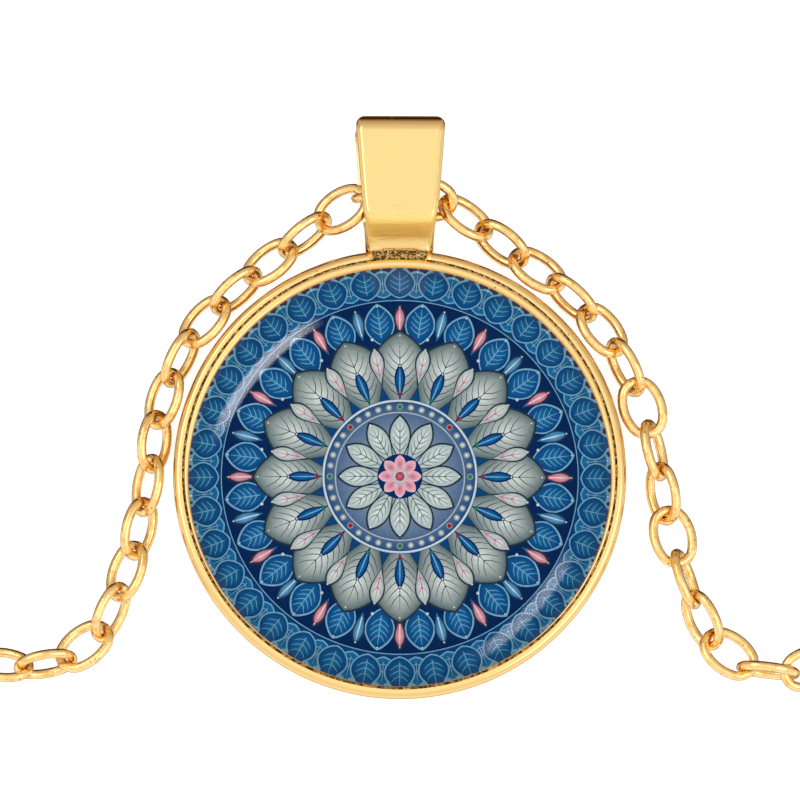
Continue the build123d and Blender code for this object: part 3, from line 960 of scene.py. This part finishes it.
def chain_tree():
    """Geometry nodes that set a link on each point, finer ones where the points are marked near."""
    tree = bpy.data.node_groups.new("Cable chain", "GeometryNodeTree")
    for name, side, kind in (
        ("Points", "INPUT", "Geometry"),
        ("Near link", "INPUT", "Object"),
        ("Far link", "INPUT", "Object"),
        ("Finish", "INPUT", "Material"),
        ("Least size", "INPUT", "Float"),
        ("Seed", "INPUT", "Int"),
        ("Chain", "OUTPUT", "Geometry"),
    ):
        tree.interface.new_socket(name, in_out=side, socket_type="NodeSocket" + kind)
    given = add_node(tree, "NodeGroupInput").outputs
    turn = add_node(tree, "GeometryNodeInputNamedAttribute", {"data_type": "QUATERNION"}, {"Name": "turn"})
    near = add_node(tree, "GeometryNodeInputNamedAttribute", {"data_type": "BOOLEAN"}, {"Name": "near"})
    far = add_node(tree, "FunctionNodeBooleanMath", {"operation": "NOT"}, {0: near})
    amount = add_node(
        tree, "FunctionNodeRandomValue", {"data_type": "FLOAT"},
        {2: given["Least size"], 3: 1.0, "Seed": given["Seed"]},
    )
    joined = add_node(tree, "GeometryNodeJoinGeometry")
    for chosen, link in ((near, "Near link"), (far, "Far link")):
        shape = add_node(tree, "GeometryNodeObjectInfo", None, {"Object": given[link]})
        strung = add_node(
            tree, "GeometryNodeInstanceOnPoints", None,
            {
                "Points": given["Points"],
                "Selection": chosen,
                "Instance": shape.outputs["Geometry"],
                "Rotation": turn,
                "Scale": amount.outputs[1],
            },
        )
        set_inputs(joined, {0: strung})
    real = add_node(tree, "GeometryNodeRealizeInstances", None, {"Geometry": joined})
    plated = add_node(
        tree, "GeometryNodeSetMaterial", None, {"Geometry": real, "Material": given["Finish"]}
    )
    add_node(tree, "NodeGroupOutput", None, {"Chain": plated})
    return tree


def build_chain(sizes):
    """The chain: each link set where its solid lies in the frame."""
    centres, longs, wides = loose_parts(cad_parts["chain"].data)
    holder = bpy.data.meshes.new("link_places")
    holder.from_pydata([tuple(c) for c in centres], [], [])
    turns = [
        tuple(Matrix(np.stack([long_axis, wide_axis, np.cross(long_axis, wide_axis)], 1)).to_quaternion())
        for long_axis, wide_axis in zip(longs, wides)
    ]
    quaternions = holder.attributes.new("turn", "QUATERNION", "POINT")
    quaternions.data.foreach_set("value", np.array(turns, np.float32).ravel())
    marks = holder.attributes.new("near", "BOOLEAN", "POINT")
    marks.data.foreach_set("value", np.linalg.norm(centres[:, :2], axis=1) < sizes.near_reach)
    points = add_object("link_places", holder)
    # The far links have fewer sides and steps than the near ones
    near_link = link_mesh("near_link", sizes, 9, 6, 10)
    far_link = link_mesh("far_link", sizes, 5, 2, 6)
    finish = gold_tone_wire("gold_tone_plated_steel_wire")
    strung = points.modifiers.new("Cable chain", "NODES")
    strung.node_group = chain_tree()
    names = {item.name: item.identifier for item in strung.node_group.interface.items_tree}
    for name, value in (
        ("Near link", near_link),
        ("Far link", far_link),
        ("Finish", finish),
        ("Least size", 0.99),
        ("Seed", sizes.seed),
    ):
        strung[names[name]] = value
    points.update_tag()
    bpy.context.view_layer.update()
    graph = bpy.context.evaluated_depsgraph_get()
    mesh = bpy.data.meshes.new_from_object(points.evaluated_get(graph))
    mesh.name = "cable_chain"
    chain = add_object("cable_chain", mesh)
    points.modifiers.clear()
    for helper in (points, near_link, far_link):
        bpy.data.objects.remove(helper)
    least_faces = 50
    if len(mesh.polygons) < least_faces * len(centres):
        raise RuntimeError("the chain came out empty")
    place_piece(chain, "gold_plated_wire", "chain")
    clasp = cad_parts["clasp"]
    clasp.data.materials.clear()
    clasp.data.materials.append(finish)


# Brightness of the tent by the height of the direction, 1 straight up and -1 straight down: behind
# the pendant, straight behind it, where a dark card stands, and in front of it and beside it
BEHIND = (
    (-1.0, 0.05), (-0.7, 0.08), (-0.545, 0.18), (-0.309, 0.45), (-0.105, 0.6), (0.242, 0.66),
    (0.515, 0.74), (0.731, 0.84), (0.883, 0.92), (0.95, 0.96), (0.973, 1.25), (1.0, 1.25),
)
DARK_CARD = (
    (-1.0, 0.35), (-0.7, 0.15), (-0.5, 0.05), (-0.3, 0.03), (-0.15, 0.07), (0.0, 0.2),
    (0.12, 0.4), (0.25, 0.55), (0.515, 0.68), (0.731, 0.82), (0.883, 0.92), (0.95, 0.96),
    (0.973, 1.25), (1.0, 1.25),
)
IN_FRONT = (
    (-1.0, 0.5), (-0.8, 0.75), (-0.4, 1.2), (-0.1, 1.25), (0.1, 1.1), (0.45, 1.02),
    (0.7, 1.05), (0.9, 1.1), (0.97, 1.25), (1.0, 1.25),
)

# Where the tent dims it warms: each colour is the level to this power
WARMTH = (1.0, 1.27, 1.55)


def level_ramp(tree, height, levels):
    """A colour ramp that gives a brightness for each height from -1 to 1, and warms where it dims."""
    share = add_node(tree, "ShaderNodeMapRange", None, {"Value": height, "From Min": -1.0, "From Max": 1.0})
    ramp = add_node(tree, "ShaderNodeValToRGB", None, {"Fac": share})
    stops = ramp.color_ramp.elements
    while len(stops) < len(levels):
        stops.new(0.5)
    for stop, (place, level) in zip(stops, levels):
        stop.position = (place + 1) / 2
        stop.color = (*(level**power if level < 1 else level for power in WARMTH), 1.0)
    return ramp


def white_tent(settings):
    """The world: a white light tent, bright above and in front, dim to dark low behind the pendant."""
    world = bpy.data.worlds.new("white_tent")
    bpy.context.scene.world = world
    world.use_nodes = True
    tree = world.node_tree
    tree.nodes.clear()
    heading = add_node(tree, "ShaderNodeTexCoord").outputs["Generated"]
    across, along, height = add_node(tree, "ShaderNodeSeparateXYZ", None, {0: heading}).outputs
    aside = add_node(tree, "ShaderNodeMath", {"operation": "ABSOLUTE"}, {0: across})
    middle, side = (
        add_node(
            tree, "ShaderNodeMapRange", {"interpolation_type": "SMOOTHSTEP"},
            {"Value": value, "From Min": start, "From Max": end},
        )
        for value, start, end in ((aside, 0.5, 0.25), (along, -0.1, 0.5))
    )
    # Straight behind the bail the dark card draws the dark line along the bail's top edge
    behind = add_node(
        tree, "ShaderNodeMix", {"data_type": "RGBA"},
        {
            "Factor": middle,
            6: level_ramp(tree, height, BEHIND),
            7: level_ramp(tree, height, DARK_CARD),
        },
    )
    tone = add_node(
        tree, "ShaderNodeMix", {"data_type": "RGBA"},
        {"Factor": side, 6: level_ramp(tree, height, IN_FRONT), 7: behind.outputs[2]},
    )
    white = (1.0, 1.0, 1.0, 1.0)
    shown, lit, faint = (
        add_node(tree, "ShaderNodeBackground", None, {"Color": colour, "Strength": strength})
        for colour, strength in ((white, 1.0), (tone.outputs[2], settings.tent), (white, settings.veil))
    )
    # A polarising filter takes the tent's own mirror image off the clear glass, as in the photo, and
    # leaves the two strips. Only a perfectly sharp reflection, so only the glass's, is dimmed.
    path = add_node(tree, "ShaderNodeLightPath").outputs
    sharp = add_node(
        tree, "ShaderNodeMath", {"operation": "MULTIPLY"},
        {0: path["Is Glossy Ray"], 1: path["Is Singular Ray"]},
    )
    filtered = add_node(tree, "ShaderNodeMixShader", None, {0: sharp, 1: lit, 2: faint})
    both = add_node(
        tree, "ShaderNodeMixShader", None, {0: path["Is Camera Ray"], 1: filtered, 2: shown}
    )
    add_node(tree, "ShaderNodeOutputWorld", None, {"Surface": both})


# How far the lamps stand from the pendant, in metres
LAMP_DISTANCE = 0.3
# Each lamp's name, bearing and height in degrees, sides in metres, share of its setting's brightness,
# and how soon it fades from its edges. The strips make the two long reflections in the glass, the
# boxes the bright lines on the metal.
STRIPS = (
    ("left_strip", 137, 19.5, (0.27, 0.036), 0.9, (0.2, 0.25)),
    ("right_strip", -40, 22.5, (0.25, 0.036), 0.55, (0.2, 0.25)),
)
BOXES = (
    ("left_box", 152, 55, (0.26, 0.13), 0.6, (0.1, 0.1)),
    ("right_box", -20, 52, (0.26, 0.13), 0.6, (0.1, 0.1)),
)


def add_lamp(brightness, lit, name, azimuth, elevation, size, share, fade_ends):
    """A soft box that faces the pendant, its first side level, and lights only the given pieces."""
    long_side, short_side = size
    lamp = bpy.data.lights.new(name, "AREA")
    lamp.shape = "RECTANGLE"
    lamp.size = long_side
    lamp.size_y = short_side
    lamp.energy = brightness * share * math.pi * long_side * short_side
    lamp.use_nodes = True
    tree = lamp.node_tree
    tree.nodes.clear()
    # The cloth of the box is brightest in its middle and fades to its edges
    spot = add_node(tree, "ShaderNodeNewGeometry").outputs["Parametric"]
    across = add_node(tree, "ShaderNodeSeparateXYZ", None, {0: spot}).outputs
    fades = []
    for axis in range(2):
        ends = add_node(tree, "ShaderNodeMath", {"operation": "SUBTRACT"}, {0: 1.0, 1: across[axis]})
        both = add_node(tree, "ShaderNodeMath", {"operation": "MULTIPLY"}, {0: across[axis], 1: ends})
        fades.append(
            add_node(
                tree, "ShaderNodeMapRange", {"interpolation_type": "SMOOTHSTEP"},
                {"Value": both, "From Min": 0.0, "From Max": fade_ends[axis]},
            )
        )
    fade = add_node(tree, "ShaderNodeMath", {"operation": "MULTIPLY"}, {0: fades[0], 1: fades[1]})
    glow = add_node(tree, "ShaderNodeEmission", None, {"Strength": fade})
    add_node(tree, "ShaderNodeOutputLight", None, {"Surface": glow})
    panel = add_object(name, lamp)
    turn = math.radians(azimuth)
    rise = math.radians(elevation)
    away = Vector((math.cos(turn) * math.cos(rise), math.sin(turn) * math.cos(rise), math.sin(rise)))
    across_it = Vector((-math.sin(turn), math.cos(turn), 0.0))
    pose = Matrix((across_it, away.cross(across_it), away)).transposed().to_4x4()
    pose.translation = away * LAMP_DISTANCE
    panel.matrix_world = pose
    panel.visible_camera = False
    panel.light_linking.receiver_collection = lit


def build_studio(settings):
    """White floor, tent, two strips, two boxes and the camera."""
    # A light table: white acrylic, lit a little from below, so that shadows stay faint
    acrylic, _, shader = new_material("white_light_table")
    set_inputs(
        shader,
        {
            "Base Color": (0.6, 0.6, 0.6, 1.0),
            "Roughness": 0.8,
            "Emission Color": (1.0, 1.0, 1.0, 1.0),
            "Emission Strength": 0.75,
        },
    )
    # The table reaches 3 m each way, and lies just below the pendant's back
    reach = 3.0
    below = -0.02 * MM
    corners = [(reach * x, reach * y, below) for x, y in ((-1, -1), (1, -1), (1, 1), (-1, 1))]
    floor = make_piece("floor", corners, [(0, 1, 2, 3)], acrylic, flat=True)
    floor.visible_glossy = False
    white_tent(settings)
    casting, chain, glass = (
        bpy.data.objects[name] for name in ("tray_with_bail_casting", "cable_chain", "glass_dome")
    )
    for name, brightness, lamps, pieces in (
        ("lit_by_strips", settings.strip, STRIPS, (glass,)),
        ("lit_by_boxes", settings.box, BOXES, (casting, chain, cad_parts["clasp"])),
    ):
        lit = bpy.data.collections.new(name)
        for piece in pieces:
            lit.objects.link(piece)
        for lamp in lamps:
            add_lamp(brightness, lit, *lamp)

    camera = bpy.data.cameras.new("camera")
    camera.sensor_width = 36.0
    camera.lens = camera.sensor_width * settings.distance / settings.view_width
    camera.clip_start = 0.01
    camera.clip_end = 50.0
    viewer = add_object("camera", camera)
    away = Vector((-math.sin(settings.lean), -math.sin(settings.tilt), math.cos(settings.tilt))).normalized()
    right = Vector((0, 1, 0)).cross(away).normalized()
    up = away.cross(right)
    target = Vector((settings.centre_x, settings.centre_y, 0.0))
    pose = Matrix((right, up, away)).transposed().to_4x4()
    pose.translation = target + away * settings.distance
    viewer.matrix_world = pose
    bpy.context.scene.camera = viewer
    bpy.context.scene.view_settings.view_transform = "Standard"


class PENDANT_OT_casting(bpy.types.Operator):
    """Build the cast tray with its bail"""

    bl_idname = "pendant.casting"
    bl_label = "Tray and bail"

    def execute(self, context):
        build_casting(context.scene.pendant_casting)
        return {"FINISHED"}


class PENDANT_OT_print(bpy.types.Operator):
    """Build the printed picture on its card"""

    bl_idname = "pendant.print"
    bl_label = "Printed card"

    def execute(self, context):
        build_print(context.scene.pendant_picture)
        return {"FINISHED"}


class PENDANT_OT_glass(bpy.types.Operator):
    """Build the domed glass"""

    bl_idname = "pendant.glass"
    bl_label = "Glass"

    def execute(self, context):
        build_glass(context.scene.pendant_glass)
        return {"FINISHED"}


class PENDANT_OT_chain(bpy.types.Operator):
    """Build the chain's links and finish the clasp"""

    bl_idname = "pendant.chain"
    bl_label = "Chain and clasp"

    def execute(self, context):
        build_chain(context.scene.pendant_chain)
        return {"FINISHED"}


class PENDANT_OT_studio(bpy.types.Operator):
    """Set up the floor, the lights and the camera"""

    bl_idname = "pendant.studio"
    bl_label = "Studio"

    def execute(self, context):
        build_studio(context.scene.pendant_studio)
        return {"FINISHED"}


OPERATORS = (PENDANT_OT_casting, PENDANT_OT_print, PENDANT_OT_glass, PENDANT_OT_chain, PENDANT_OT_studio)
GROUPS = {
    "pendant_casting": CastingSizes,
    "pendant_picture": PictureLook,
    "pendant_glass": GlassSizes,
    "pendant_chain": ChainSizes,
    "pendant_studio": StudioSettings,
}


class PENDANT_PT_panel(bpy.types.Panel):
    """The pendant's pieces and their sizes"""

    bl_idname = "PENDANT_PT_panel"
    bl_label = "Cabochon pendant"
    bl_space_type = "VIEW_3D"
    bl_region_type = "UI"
    bl_category = "Pendant"

    def draw(self, context):
        for operator, name in zip(OPERATORS, GROUPS):
            box = self.layout.box()
            box.operator(operator.bl_idname)
            group = getattr(context.scene, name)
            for item in group.bl_rna.properties:
                if item.identifier not in ("rna_type", "name"):
                    box.prop(group, item.identifier)


CLASSES = (*GROUPS.values(), *OPERATORS, PENDANT_PT_panel)


def register():
    for item in CLASSES:
        bpy.utils.register_class(item)
    for name, group in GROUPS.items():
        setattr(bpy.types.Scene, name, PointerProperty(type=group))


def unregister():
    for name in GROUPS:
        delattr(bpy.types.Scene, name)
    for item in reversed(CLASSES):
        bpy.utils.unregister_class(item)


def main():
    register()
    bpy.ops.pendant.casting()
    bpy.ops.pendant.print()
    bpy.ops.pendant.glass()
    bpy.ops.pendant.chain()
    bpy.ops.pendant.studio()


if __name__ == "__main__":
    main()
